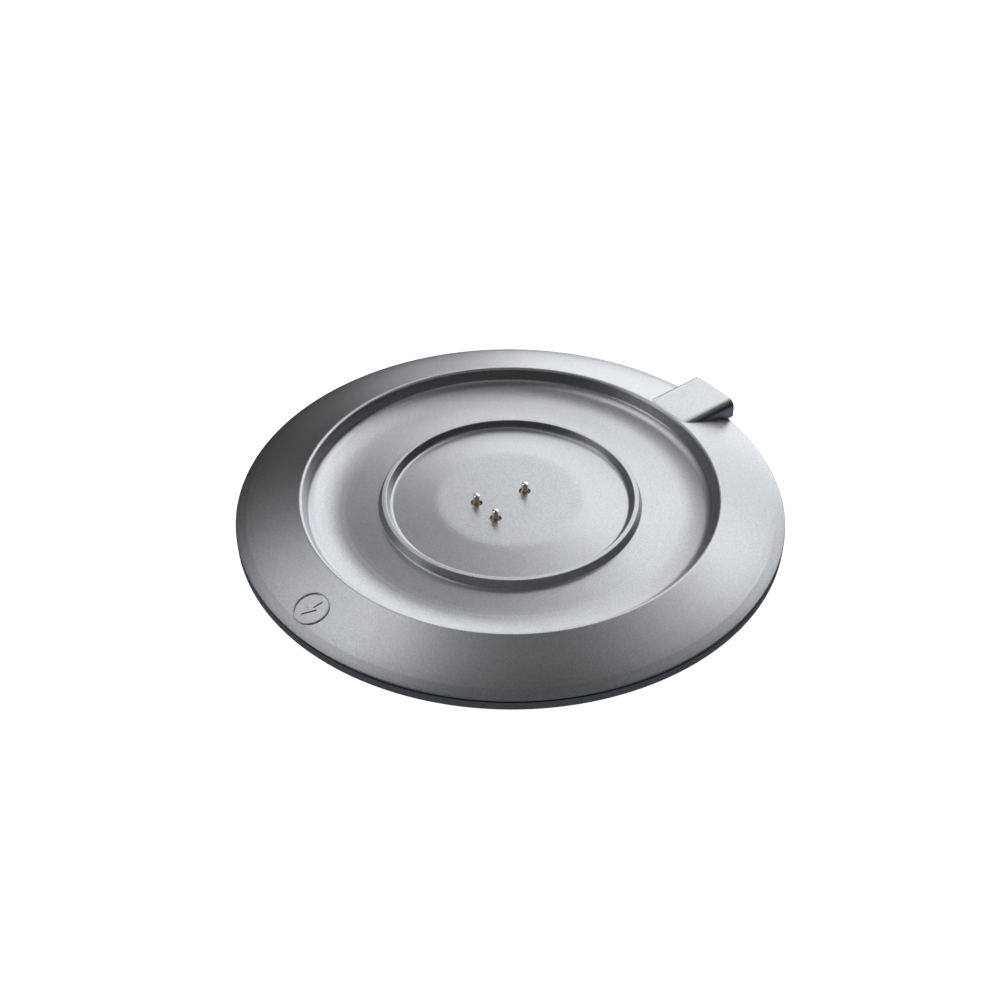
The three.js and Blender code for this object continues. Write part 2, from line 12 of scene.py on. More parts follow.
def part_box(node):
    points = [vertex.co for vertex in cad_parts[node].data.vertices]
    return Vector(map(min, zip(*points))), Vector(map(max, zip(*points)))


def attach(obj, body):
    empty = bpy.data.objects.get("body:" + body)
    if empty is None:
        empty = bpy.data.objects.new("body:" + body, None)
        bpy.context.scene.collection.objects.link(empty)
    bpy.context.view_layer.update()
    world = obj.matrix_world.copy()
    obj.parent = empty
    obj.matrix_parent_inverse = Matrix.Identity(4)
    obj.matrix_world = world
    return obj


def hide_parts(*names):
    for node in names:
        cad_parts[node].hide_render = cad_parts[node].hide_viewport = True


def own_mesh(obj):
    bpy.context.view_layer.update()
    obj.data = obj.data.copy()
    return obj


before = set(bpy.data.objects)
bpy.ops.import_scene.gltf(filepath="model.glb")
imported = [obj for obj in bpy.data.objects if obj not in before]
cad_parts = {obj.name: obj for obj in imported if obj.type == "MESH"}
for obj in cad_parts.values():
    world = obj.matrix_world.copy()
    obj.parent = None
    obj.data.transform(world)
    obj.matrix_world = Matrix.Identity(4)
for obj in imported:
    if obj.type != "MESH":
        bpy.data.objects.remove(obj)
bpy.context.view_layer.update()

MM = 0.001
HOUSING = "housing"
PIN_COUNT = 3
SMOOTH_ANGLE = 14  # in degrees: a sharper edge stays hard
BOX_SMOOTH_ANGLE = 35


# ---- frame measures -------------------------------------------------------------------
def span(node):
    """A CAD node's lowest and highest corners, in millimetres."""
    low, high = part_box(node)
    return low / MM, high / MM


def middle(node):
    low, high = span(node)
    return (low + high) / 2


cover_high = span("top_cover")[1]
shell_low = span("bottom_shell")[0]
foot_low, foot_high = span("foot_ring")
RIM_R = cover_high.x  # outer radius of the dock
BLOCK_END = cover_high.y  # outer end of the port block
DISH_Z = cover_high.z  # upper edge of the dish, and top of the port block
SHELL_BOTTOM = shell_low.z

RIM_Z = 4.8  # the cover's outer edge, and the shadow groove under it
SEAM_Z = 4.4
SEAM_R = 79.0
SHELL_TOP = 3.9
SHELL_FLOOR = 2.4
DISH_R = 61.4
RIM_CROWN = [(DISH_R, DISH_Z), (71.0, 8.03), (77.0, 6.09), (RIM_R, RIM_Z)]
RING_OUT_R = 37.55  # flat top of the locating ring, and the feet of its two walls
RING_IN_R = 36.1
RING_Z = 8.7
RING_IN_FOOT = (34.9, 6.38)
RING_OUT_FOOT = (38.35, 6.25)
CENTRE_R = 21.5
CENTRE_Z = 7.4
MOAT_IN_R = 48.3  # level bottom of the dish, and the two curves that rise from it
MOAT_OUT_R = 50.0
MOAT_Z = 5.45
MOAT_BEND = 26.0
MOAT_BEND_END = math.radians(14.5)
WALL_BEND = 6.0
WALL_BEND_END = math.radians(38)
WALL_FOOT_BEND = 1.5  # last curve, up to the steep wall
WALL_SLOPE = math.radians(64)
EDGE_CENTRE = (61.25, 9.77)  # rounding between the wall and the rim
EDGE_ROUND = 1.1
RIM_SLOPE = math.radians(16.5)
COVER_T = 1.6
RIM_DROP = 1.9  # how far the underside's sloping roof lies below the rim
ROOF_IN_R = 62.0
SKIRT_IN_R = 76.7  # the cover's skirt, inside the shell's wall
SKIRT_OUT_R = 77.7
SKIRT_Z = 3.2
UNDER_RING = (35, 4.74)  # where the underside starts to rise to the centre
UNDER_CENTRE_R = 22.5
BLOCK_HALF = 9.0
BLOCK_IN = 61.5
BLOCK_ROUND = 2.88
BLOCK_FOOT_ROUND = 0.9
BLOCK_EDGE = 0.35  # rounding of the block's outer end
CORNER_STEPS = 14
GUARD = 0.05  # a point this far beyond a rounding keeps the flat beside it flat
POCKET = ((-6.6, 64.0, 2.0), (6.6, 79.4, DISH_Z - COVER_T))
PIN_HOLE_R = 1.65
PIN_R = 0.95
PIN_SHOULDER_R = 1.07
PIN_SHOULDER_H = 0.7
PIN_DOME = 0.22
DOME_STEPS = 8
MARK_R = 72.3  # raised charge mark: a bolt inside a thin circle
MARK_TURN = math.radians(3)
MARK_H = 0.3
MARK_CIRCLE = 5.3
MARK_LINE = 0.5
BOLT = [(0.85, 3.2), (-1.65, -0.5), (-0.3, -0.5), (-0.85, -3.2), (1.65, 0.5), (0.3, 0.5)]
CASE_SCREW_CIRCLE = 67.0
CASE_SCREW_ANGLES = (45, 135, 225, 315)
CASE_BOSS = (3.2, 3.4, 7.6)  # radius, lowest and highest point, as for each rod below
CASE_PILOT = (1.2, 2.4, 7.0)
CASE_PAD = (4.2, 2, 3.4)
BOARD_POST_R = 2.3
PORT_POST_R = 1.9
POST_PILOT = (1.05, 1.5, 5)
BARREL_HOLE = (1.62, 2, 6)
SCREW_HOLE = (1.15, 2, 6)
PEG_CIRCLE = 51
PEG_ANGLES = (30, 150, 270)
PEG_R = 1.2
PEG_TOP = 3.3
PEG_HOLE = (1.45, 0, 8)
FOOT_IN_R = 61
FOOT_OUT_R = 73
FOOT_GAP = 0.1
BALLAST_IN_R = 44
BALLAST_OUT_R = 58
CARRIER_R = 12
GASKET_IN_R = 10.4
MAIN_BOARD_R = 27


def rim_z(r):
    """Height of the crowned rim at radius r."""
    for (r0, z0), (r1, z1) in zip(RIM_CROWN, RIM_CROWN[1:]):
        if r <= r1:
            return z0 + (z1 - z0) * (r - r0) / (r1 - r0)
    return RIM_Z


# ---- mesh tools -----------------------------------------------------------------------
def rounded(corners, step=math.radians(9)):
    """A polyline through (a, b, fillet radius) corners, with each fillet as a smooth arc."""
    points = [Vector(corners[0][:2])]
    for before, here, after in zip(corners, corners[1:], corners[2:]):
        corner = Vector(here[:2])
        radius = here[2]
        into = (corner - Vector(before[:2])).normalized()
        out = (Vector(after[:2]) - corner).normalized()
        turn = math.atan2(into.x * out.y - into.y * out.x, into.dot(out))
        if radius == 0 or abs(turn) < 1e-4:
            points.append(corner)
            continue
        side = math.copysign(1, turn)
        reach = radius * math.tan(abs(turn) / 2)
        start = corner - into * reach
        centre = start + Vector((-into.y, into.x)) * side * radius
        arm = start - centre
        count = max(2, math.ceil(abs(turn) / step))
        for i in range(count + 1):
            angle = turn * i / count
            cos, sin = math.cos(angle), math.sin(angle)
            points.append(centre + Vector((arm.x * cos - arm.y * sin, arm.x * sin + arm.y * cos)))
    points.append(Vector(corners[-1][:2]))
    return points


def new_object(name, bm, smooth_angle=SMOOTH_ANGLE):
    """Turns a bmesh in millimetres into an object in metres, facing out, smooth up to an angle."""
    bmesh.ops.remove_doubles(bm, verts=bm.verts, dist=1e-4)
    bmesh.ops.recalc_face_normals(bm, faces=bm.faces)
    mesh = bpy.data.meshes.new(name)
    bm.to_mesh(mesh)
    bm.free()
    mesh.transform(Matrix.Scale(MM, 4))
    piece = bpy.data.objects.new(name, mesh)
    bpy.context.scene.collection.objects.link(piece)
    smooth(piece, smooth_angle)
    return piece


def smooth(piece, angle):
    piece.data.shade_smooth()
    piece.data.set_sharp_from_angle(angle=math.radians(angle))


def lathe(name, outline, sides=64, centre=(0, 0), closed=False):
    """Turns an outline of (radius, height) points about an upright axis through centre."""
    bm = bmesh.new()
    rings = []
    for r, z in outline:
        if r < 1e-6:
            rings.append([bm.verts.new((centre[0], centre[1], z))] * sides)
            continue
        ring = []
        for i in range(sides):
            angle = math.tau * i / sides
            x, y = centre[0] + r * math.cos(angle), centre[1] + r * math.sin(angle)
            ring.append(bm.verts.new((x, y, z)))
        rings.append(ring)
    pairs = list(zip(rings, rings[1:]))
    if closed:
        pairs.append((rings[-1], rings[0]))
    for low, high in pairs:
        for i in range(sides):
            j = (i + 1) % sides
            corners = list(dict.fromkeys((low[i], low[j], high[j], high[i])))
            if len(corners) > 2:
                bm.faces.new(corners)
    return new_object(name, bm)


def rod(radius, low, high):
    """The outline of a plain round rod."""
    return [(0, low), (radius, low), (radius, high), (0, high)]


def stepped_rod(wide, narrow, low, step, high):
    """The outline of a rod that is wide up to step and narrow above it."""
    return [(0, low), (wide, low), (wide, step), (narrow, step), (narrow, high), (0, high)]


def ring_outline(inner, outer, start, low, high, foot_round, top_round):
    """The closed outline of a flat ring. start is the radius, on its underside, where the outline begins."""
    corners = [
        (start, low, 0),
        (outer, low, foot_round),
        (outer, high, top_round),
        (inner, high, top_round),
        (inner, low, foot_round),
        (start, low, 0),
    ]
    return rounded(corners)[:-1]


def loft(name, sections, smooth_angle=SMOOTH_ANGLE):
    """A closed solid through sections: lists of as many 3-D points each, capped at both ends."""
    bm = bmesh.new()
    rings = [[bm.verts.new(point) for point in section] for section in sections]
    for low, high in zip(rings, rings[1:]):
        for i in range(len(low)):
            j = (i + 1) % len(low)
            bm.faces.new((low[i], low[j], high[j], high[i]))
    bm.faces.new(rings[0])
    bm.faces.new(list(reversed(rings[-1])))
    return new_object(name, bm, smooth_angle)


def cuboid(name, low, high, edge=0.0):
    """A box between two corners, its edges rounded by edge."""
    bm = bmesh.new()
    bmesh.ops.create_cube(bm, size=1)
    size = Vector(high) - Vector(low)
    bmesh.ops.scale(bm, vec=size, verts=bm.verts)
    bmesh.ops.translate(bm, vec=(Vector(low) + Vector(high)) / 2, verts=bm.verts)
    if edge > 0:
        bmesh.ops.bevel(bm, geom=bm.edges, offset=edge, segments=3, profile=0.5, affect="EDGES")
    return new_object(name, bm, BOX_SMOOTH_ANGLE)


def cut(piece, tool, how="DIFFERENCE", smooth_angle=SMOOTH_ANGLE):
    """Joins a tool to a piece or cuts it away, and removes the tool."""
    change = piece.modifiers.new("cut", "BOOLEAN")
    change.operation = how
    change.solver = "MANIFOLD"
    change.object = tool
    bpy.context.view_layer.update()
    done = piece.evaluated_get(bpy.context.evaluated_depsgraph_get())
    mesh = bpy.data.meshes.new_from_object(done)
    piece.modifiers.clear()
    piece.data = mesh
    bpy.data.objects.remove(tool)
    smooth(piece, smooth_angle)
    return piece


def on_circle(radius, degrees):
    angle = math.radians(degrees)
    return radius * math.cos(angle), radius * math.sin(angle)


def slot_outline(width, height, grow=0.0, steps=14):
    """(x, z) points of an outline with round ends, centred on 0 and grown outwards by grow."""
    r = height / 2
    half = width / 2 - r
    points = []
    for side, start in ((1, -math.pi / 2), (-1, math.pi / 2)):
        for i in range(steps + 1):
            angle = start + math.pi * i / steps
            points.append((side * half + (r + grow) * math.cos(angle), (r + grow) * math.sin(angle)))
    return points


def place_xz(points, y, z0=0.0):
    """Stands an (x, z) outline up at y, raised by z0."""
    return [(x, y, z0 + z) for x, z in points]


def tube_ring(heart, radius, across, up, count):
    """One round section of a wire about its centre line."""
    ring = []
    for i in range(count):
        turn = math.tau * i / count
        ring.append(heart + radius * (math.cos(turn) * across + math.sin(turn) * up))
    return ring


# ---- materials ------------------------------------------------------------------------
# Texture sizes are in metres, as object coordinates are.
RING_SCALE = 1769.2852  # sets the rings of turned metal 0.18 mm apart
RING_RELIEF = 0.000003


def blank_material(name):
    material = bpy.data.materials.new(name)
    material.use_nodes = True
    tree = material.node_tree
    shader = next(n for n in tree.nodes if n.type == "BSDF_PRINCIPLED")
    return material, tree, shader


def node(tree, kind, **inputs):
    made = tree.nodes.new(kind)
    for key, value in inputs.items():
        made.inputs[key.replace("_", " ")].default_value = value
    return made


def object_coords(tree):
    return tree.nodes.new("ShaderNodeTexCoord").outputs["Object"]


def noise(tree, coords, scale, detail=2.0, rough=0.5):
    made = node(tree, "ShaderNodeTexNoise", Scale=scale, Detail=detail, Roughness=rough)
    tree.links.new(coords, made.inputs["Vector"])
    return made.outputs["Fac"]


def spread(tree, value, low, high, from_low=0.0, from_high=1.0):
    """Maps a value from one range to another."""
    made = tree.nodes.new("ShaderNodeMapRange")
    limits = (("From Min", from_low), ("From Max", from_high), ("To Min", low), ("To Max", high))
    for key, limit in limits:
        made.inputs[key].default_value = limit
    tree.links.new(value, made.inputs["Value"])
    return made.outputs["Result"]


def blend_colours(tree, factor, first, second):
    made = tree.nodes.new("ShaderNodeMix")
    made.data_type = "RGBA"
    made.inputs[6].default_value = (*first, 1)
    made.inputs[7].default_value = (*second, 1)
    tree.links.new(factor, made.inputs[0])
    return made.outputs[2]


def bump(tree, shader, height, distance):
    made = node(tree, "ShaderNodeBump", Strength=1.0, Distance=distance)
    tree.links.new(height, made.inputs["Height"])
    tree.links.new(made.outputs["Normal"], shader.inputs["Normal"])


def fleck_paint(name, dark, light, roughness, metallic, fleck=0.00042, grain=0.00001):
    """Satin metallic paint: fine flecks of lighter pigment, a faint orange peel and slow sheen changes."""
    material, tree, shader = blank_material(name)
    coords = object_coords(tree)
    flecks = noise(tree, coords, 1 / fleck, 3.0, 0.6)
    slow = noise(tree, coords, 28.0, 2.0)
    factor = spread(tree, flecks, 0, 1, 0.32, 0.68)
    tree.links.new(blend_colours(tree, factor, dark, light), shader.inputs["Base Color"])
    tree.links.new(spread(tree, slow, roughness - 0.03, roughness + 0.03), shader.inputs["Roughness"])
    shader.inputs["Metallic"].default_value = metallic
    bump(tree, shader, flecks, grain)
    return material


def grained(name, dark, light, roughness, metallic=0.0, size=0.0008, height=0.00002,
            rough_spread=0.06):
    """A moulded, pressed or plated surface: two near colours, uneven roughness and fine relief."""
    material, tree, shader = blank_material(name)
    coords = object_coords(tree)
    grain = noise(tree, coords, 1 / size, 4.0, 0.55)
    tree.links.new(blend_colours(tree, grain, dark, light), shader.inputs["Base Color"])
    tree.links.new(spread(tree, grain, roughness - rough_spread, roughness + rough_spread),
                   shader.inputs["Roughness"])
    shader.inputs["Metallic"].default_value = metallic
    bump(tree, shader, grain, height)
    return material


def turned_metal(name, dark, light, roughness):
    """Plated metal with the fine rings that turning leaves round it."""
    material, tree, shader = blank_material(name)
    coords = object_coords(tree)
    wave = node(tree, "ShaderNodeTexWave", Scale=RING_SCALE, Distortion=2.0, Detail=2.0)
    wave.bands_direction = "Z"
    tree.links.new(coords, wave.inputs["Vector"])
    stain = noise(tree, coords, 900.0, 3.0)
    tree.links.new(blend_colours(tree, stain, dark, light), shader.inputs["Base Color"])
    tree.links.new(spread(tree, wave.outputs["Fac"], roughness - 0.04, roughness + 0.06),
                   shader.inputs["Roughness"])
    shader.inputs["Metallic"].default_value = 1.0
    bump(tree, shader, wave.outputs["Fac"], RING_RELIEF)
    return material


def board_material(name):
    """Green solder mask over copper tracks, which show as paler, slightly raised lines."""
    material, tree, shader = blank_material(name)
    coords = object_coords(tree)
    cells = node(tree, "ShaderNodeTexVoronoi", Scale=330.0)
    cells.feature = "DISTANCE_TO_EDGE"
    tree.links.new(coords, cells.inputs["Vector"])
    track = spread(tree, cells.outputs["Distance"], 1, 0, 0.05, 0.09)
    tree.links.new(blend_colours(tree, track, (0.008, 0.075, 0.04), (0.03, 0.17, 0.09)),
                   shader.inputs["Base Color"])
    weave = noise(tree, coords, 2600.0, 2.0)
    tree.links.new(spread(tree, weave, 0.3, 0.45), shader.inputs["Roughness"])
    bump(tree, shader, track, 0.00003)
    return material


def banded_ceramic(name, box, body, end):
    """A chip capacitor: a fired ceramic body with bright tinned ends."""
    material, tree, shader = blank_material(name)
    coords = object_coords(tree)
    split = tree.nodes.new("ShaderNodeSeparateXYZ")
    tree.links.new(coords, split.inputs[0])
    offset = tree.nodes.new("ShaderNodeMath")
    offset.operation = "SUBTRACT"
    offset.inputs[1].default_value = (box[0].x + box[1].x) / 2
    tree.links.new(split.outputs["X"], offset.inputs[0])
    away = tree.nodes.new("ShaderNodeMath")
    away.operation = "ABSOLUTE"
    tree.links.new(offset.outputs[0], away.inputs[0])
    band = (box[1].x - box[0].x) * 0.3
    fade = 0.00004
    tinned = spread(tree, away.outputs[0], 0, 1, band - fade, band + fade)
    grain = noise(tree, coords, 5000.0, 3.0)
    tree.links.new(blend_colours(tree, tinned, body, end), shader.inputs["Base Color"])
    tree.links.new(tinned, shader.inputs["Metallic"])
    tree.links.new(spread(tree, grain, 0.32, 0.5), shader.inputs["Roughness"])
    bump(tree, shader, grain, 0.00001)
    return material


def foot_rubber(name):
    """Matte rubber with fine rings moulded into it."""
    material, tree, shader = blank_material(name)
    coords = object_coords(tree)
    rings = node(tree, "ShaderNodeTexWave", Scale=160.0)
    rings.wave_type = "RINGS"
    rings.rings_direction = "Z"
    tree.links.new(coords, rings.inputs["Vector"])
    grain = noise(tree, coords, 3000.0, 3.0)
    tree.links.new(blend_colours(tree, grain, (0.012, 0.012, 0.013), (0.03, 0.03, 0.032)),
                   shader.inputs["Base Color"])
    tree.links.new(spread(tree, grain, 0.7, 0.9), shader.inputs["Roughness"])
    bump(tree, shader, rings.outputs["Fac"], 0.00006)
    return material


COVER_PAINT = fleck_paint("cover_paint", (0.495, 0.507, 0.53), (0.67, 0.687, 0.72), 0.36, 1.0,
                          fleck=0.00036, grain=0.00003)
SHELL_PAINT = fleck_paint("shell_paint", (0.085, 0.09, 0.10), (0.14, 0.15, 0.165), 0.45, 0.6)
RUBBER = foot_rubber("foot_rubber")
ZINC = grained("zinc_plate", (0.46, 0.47, 0.48), (0.60, 0.61, 0.63), 0.36, 1.0, 0.004, 0.00001)
NICKEL = grained("pin_nickel", (0.86, 0.83, 0.78), (0.93, 0.90, 0.85),
                 0.25, 1.0, 0.0003, 0.000001, 0.03)
GOLD = turned_metal("barrel_gold", (0.50, 0.38, 0.20), (0.66, 0.52, 0.30), 0.24)
SPRING = turned_metal("spring_wire", (0.50, 0.50, 0.51), (0.66, 0.66, 0.67), 0.28)
BOARD = board_material("solder_mask")
BLACK_PLASTIC = grained("black_plastic", (0.012, 0.012, 0.013), (0.028, 0.028, 0.03), 0.5)
WHITE_PLASTIC = grained("white_plastic", (0.70, 0.67, 0.60), (0.80, 0.78, 0.72), 0.45)
CHIP_RESIN = grained("chip_resin", (0.010, 0.010, 0.011), (0.03, 0.03, 0.032),
                     0.6, 0.0, 0.0002, 0.00001)
FERRITE = grained("ferrite", (0.03, 0.03, 0.033), (0.075, 0.075, 0.08),
                  0.55, 0.2, 0.0003, 0.00003)
SILICONE = grained("silicone", (0.07, 0.07, 0.075), (0.11, 0.11, 0.115), 0.75)
PORT_STEEL = grained("port_steel", (0.52, 0.53, 0.55), (0.68, 0.69, 0.71),
                     0.28, 1.0, 0.0006, 0.000004)
LEAD_RED = grained("lead_red", (0.36, 0.015, 0.012), (0.48, 0.03, 0.02),
                   0.4, 0.0, 0.0012, 0.00001)
LEAD_BLACK = grained("lead_black", (0.012, 0.012, 0.013), (0.03, 0.03, 0.03),
                     0.4, 0.0, 0.0012, 0.00001)
CERAMIC = (0.34, 0.20, 0.10)
TIN = (0.72, 0.72, 0.71)


def settle(piece, node_name, material, body=HOUSING):
    """Gives a finished piece its material and puts it in place of its CAD node."""
    piece.data.materials.clear()
    piece.data.materials.append(material)
    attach(piece, body)
    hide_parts(node_name)
    return piece


# ---- cover ----------------------------------------------------------------------------
def climb(centre, radius, start, end, steps):
    """Corners along an arc that is level at its lowest point and climbs outwards."""
    slopes = [start + (end - start) * i / steps for i in range(steps + 1)]
    return [(centre[0] + radius * math.sin(a), centre[1] - radius * math.cos(a), 0) for a in slopes]


def dish_curve(offset, steps):
    """The dish's outer curve, on its surface or a wall thickness below it."""
    wide = (MOAT_OUT_R, MOAT_Z + MOAT_BEND)
    apart = MOAT_BEND - WALL_BEND
    tight = (wide[0] + apart * math.sin(MOAT_BEND_END), wide[1] - apart * math.cos(MOAT_BEND_END))
    return [
        *climb(wide, MOAT_BEND + offset, 0, MOAT_BEND_END, steps),
        *climb(tight, WALL_BEND + offset, MOAT_BEND_END, WALL_BEND_END, steps)[1:],
    ]


def wall_and_edge(steps):
    """The steep wall above the dish's curve, and the rounded edge between it and the rim."""
    foot_r, foot_z, _ = dish_curve(0, 1)[-1]
    centre_r = foot_r - WALL_FOOT_BEND * math.sin(WALL_BEND_END)
    centre_z = foot_z + WALL_FOOT_BEND * math.cos(WALL_BEND_END)
    bend = climb((centre_r, centre_z), WALL_FOOT_BEND, WALL_BEND_END, WALL_SLOPE, steps)[1:]
    edge = []
    for i in range(2 * steps + 1):
        slope = WALL_SLOPE - (WALL_SLOPE + RIM_SLOPE) * i / (2 * steps)
        r = EDGE_CENTRE[0] - EDGE_ROUND * math.sin(slope)
        z = EDGE_CENTRE[1] + EDGE_ROUND * math.cos(slope)
        edge.append((r, z, 0))
    return [*bend, *edge]


def cover_outline():
    """The cover's cross-section: (radius, height) points out over its top and back under it."""
    surface = [
        (0, CENTRE_Z, 0),
        (CENTRE_R, CENTRE_Z, 36),
        (*RING_IN_FOOT, 1.1),
        (RING_IN_R, RING_Z, 0.35),
        (RING_OUT_R, RING_Z, 0.35),
        (*RING_OUT_FOOT, 0.4),
        (MOAT_IN_R, MOAT_Z, 40),
        *dish_curve(0, 14),
        *wall_and_edge(8),
        (*RIM_CROWN[1], 100),
        (*RIM_CROWN[2], 45),
        (RIM_R, RIM_Z, 0.3),
        (RIM_R, SEAM_Z, 0.12),
        (SEAM_R, SEAM_Z, 0),
        (SEAM_R, SHELL_TOP, 0),
        (SKIRT_OUT_R, SHELL_TOP, 0),
        (SKIRT_OUT_R, SKIRT_Z, 0.1),
        (SKIRT_IN_R, SKIRT_Z, 0.1),
        (SKIRT_IN_R, rim_z(SKIRT_IN_R) - RIM_DROP, 0),
        (ROOF_IN_R, rim_z(ROOF_IN_R) - RIM_DROP, 0.5),
        *reversed(dish_curve(COVER_T, 8)),
        (*UNDER_RING, 0),
        (UNDER_CENTRE_R, CENTRE_Z - COVER_T, 0),
        (0, CENTRE_Z - COVER_T, 0),
    ]
    return hold_flats(rounded(surface, math.radians(5)))


def hold_flats(points, reach=0.04, shortest=0.7):
    """Adds a point near each end of a straight stretch above the shortest, which keeps its shading flat."""
    held = [points[0]]
    for here, after in zip(points, points[1:]):
        stretch = after - here
        if stretch.length > shortest:
            step = stretch.normalized() * reach
            held += [here + step, after - step]
        held.append(after)
    return held


def block_outline(shrink):
    """The port block's cross-section, drawn in by shrink: (x, z) points."""
    half = BLOCK_HALF
    corners = [
        (half, DISH_Z - BLOCK_ROUND, BLOCK_ROUND, 0),
        (-half, DISH_Z - BLOCK_ROUND, BLOCK_ROUND, math.pi / 2),
        (-half, SEAM_Z + BLOCK_FOOT_ROUND, BLOCK_FOOT_ROUND, math.pi),
        (half, SEAM_Z + BLOCK_FOOT_ROUND, BLOCK_FOOT_ROUND, math.pi * 1.5),
    ]
    points = []
    for x, z, radius, start in corners:
        centre_x = x - math.copysign(radius, x)
        for i in range(CORNER_STEPS + 1):
            angle = start + math.pi / 2 * i / CORNER_STEPS
            reach = radius - shrink
            points.append((centre_x + reach * math.cos(angle), z + reach * math.sin(angle)))
    flat = half - BLOCK_ROUND - GUARD
    first_corner_end = CORNER_STEPS + 1
    points[first_corner_end:first_corner_end] = [(flat, DISH_Z - shrink), (-flat, DISH_Z - shrink)]
    return points


def port_block():
    """The block on the rim, its outer end rounded off."""
    end_steps = 5
    sections = [place_xz(block_outline(0), y) for y in (BLOCK_IN, BLOCK_END - BLOCK_EDGE - GUARD)]
    for i in range(end_steps + 1):
        angle = math.pi / 2 * i / end_steps
        y = BLOCK_END - BLOCK_EDGE + BLOCK_EDGE * math.sin(angle)
        sections.append(place_xz(block_outline(BLOCK_EDGE * (1 - math.cos(angle))), y))
    block = loft("port_block", sections)
    roof_in, roof_out = rim_z(ROOF_IN_R) - RIM_DROP, rim_z(SKIRT_IN_R) - RIM_DROP
    room = [(0, 0), (SKIRT_IN_R, 0), (SKIRT_IN_R, roof_out), (ROOF_IN_R, roof_in), (0, roof_in)]
    return cut(block, lathe("room", room, 128))


def charge_mark():
    """A plain lightning bolt in a thin circle, raised from the sloping rim with softened edges."""
    slope = math.atan(rim_z(MARK_R) - rim_z(MARK_R + 1))
    place = Matrix.Rotation(MARK_TURN, 4, "Z") @ Matrix.Translation((0, -MARK_R, rim_z(MARK_R)))
    place = place @ Matrix.Rotation(slope, 4, "X")
    root = -1.0  # the mark starts this far below the rim's surface
    shoulder = MARK_H * 0.4
    levels = [(root, 1.06), (shoulder, 1.0), (MARK_H * 0.85, 0.97), (MARK_H, 0.92)]
    sections = [[place @ Vector((x * size, y * size, z)) for x, y in BOLT] for z, size in levels]
    bolt = loft("bolt", sections, 30)
    half_line = MARK_LINE / 2
    heart = MARK_CIRCLE - half_line
    bead = [(heart - half_line, root), (heart + half_line, root)]
    bead_steps = 8
    for i in range(bead_steps + 1):
        angle = math.pi * i / bead_steps
        bead.append((heart + half_line * math.cos(angle), shoulder + MARK_H * 0.6 * math.sin(angle)))
    circle = lathe("circle", bead, 72, closed=True)
    circle.data.transform(Matrix.Scale(MM, 4) @ place @ Matrix.Scale(1 / MM, 4))
    return cut(bolt, circle, "UNION")


def make_cover():
    cover = lathe("cover", cover_outline(), 288)
    cut(cover, port_block(), "UNION")
    cut(cover, charge_mark(), "UNION")
    for angle in CASE_SCREW_ANGLES:
        place = on_circle(CASE_SCREW_CIRCLE, angle)
        cut(cover, lathe("boss", rod(*CASE_BOSS), 32, place), "UNION")
        cut(cover, lathe("bore", rod(*CASE_PILOT), 24, place))
    hole = [
        (0, 4),
        (PIN_HOLE_R, 4),
        (PIN_HOLE_R, CENTRE_Z - 0.12),
        (PIN_HOLE_R + 0.2, CENTRE_Z + 0.08),
        (0, CENTRE_Z + 0.08),
    ]
    for number in range(1, PIN_COUNT + 1):
        cut(cover, lathe("pin_hole", hole, 48, middle(f"contact_pin_{number}")))
    cut(cover, cuboid("pocket", *POCKET))
    low, high = span("port_shell")
    gap = 0.3
    width = high.x - low.x + gap
    height = high.z - low.z + gap
    port_z = middle("port_shell").z
    levels = [(78.0, 0.0), (BLOCK_END - 0.35, 0.0), (BLOCK_END + 0.05, 0.4)]
    sections = [place_xz(slot_outline(width, height, grow), y, port_z) for y, grow in levels]
    cut(cover, loft("mouth", sections))
    return settle(cover, "top_cover", COVER_PAINT)


# ---- shell, foot, ballast -------------------------------------------------------------
def make_shell():
    inner = FOOT_IN_R - FOOT_GAP
    outer = foot_high.x + FOOT_GAP
    recess = foot_high.z
    wall = 2
    outline = rounded([
        (0, SHELL_BOTTOM, 0),
        (inner, SHELL_BOTTOM, 0.1),
        (inner, recess, 0),
        (outer, recess, 0),
        (outer, SHELL_BOTTOM, 0.1),
        (RIM_R - 0.12, SHELL_BOTTOM, 0.6),
        (RIM_R, SHELL_TOP, 0.15),
        (RIM_R - wall, SHELL_TOP, 0.1),
        (RIM_R - wall, SHELL_FLOOR, 0.3),
        (0, SHELL_FLOOR, 0),
    ])
    shell = lathe("shell", outline, 288)
    for angle in CASE_SCREW_ANGLES:
        place = on_circle(CASE_SCREW_CIRCLE, angle)
        cut(shell, lathe("boss", rod(*CASE_PAD), 40, place), "UNION")
        cut(shell, lathe("screw_room", stepped_rod(2.5, 1.35, 0, 2.6, 5), 32, place))
    posts = [(f"board_screw_{number}", BOARD_POST_R, "main_board") for number in (1, 2, 3)]
    posts += [(f"port_screw_{number}", PORT_POST_R, "port_board") for number in (1, 2)]
    for screw, radius, board in posts:
        place = middle(screw)
        top = span(board)[0].z
        cut(shell, lathe("post", rod(radius, 2, top), 32, place), "UNION")
        cut(shell, lathe("pilot", rod(*POST_PILOT), 20, place))
    peg = rounded([(0, 2, 0), (PEG_R, 2, 0), (PEG_R, PEG_TOP, 0.25), (0, PEG_TOP, 0)])
    for angle in PEG_ANGLES:
        cut(shell, lathe("peg", peg, 24, on_circle(PEG_CIRCLE, angle)), "UNION")
    return settle(shell, "bottom_shell", SHELL_PAINT)


def make_foot():
    outline = ring_outline(FOOT_IN_R, FOOT_OUT_R, 67, foot_low.z, foot_high.z, 0.35, 0.1)
    foot = lathe("foot", outline, 240, closed=True)
    return settle(foot, "foot_ring", RUBBER)


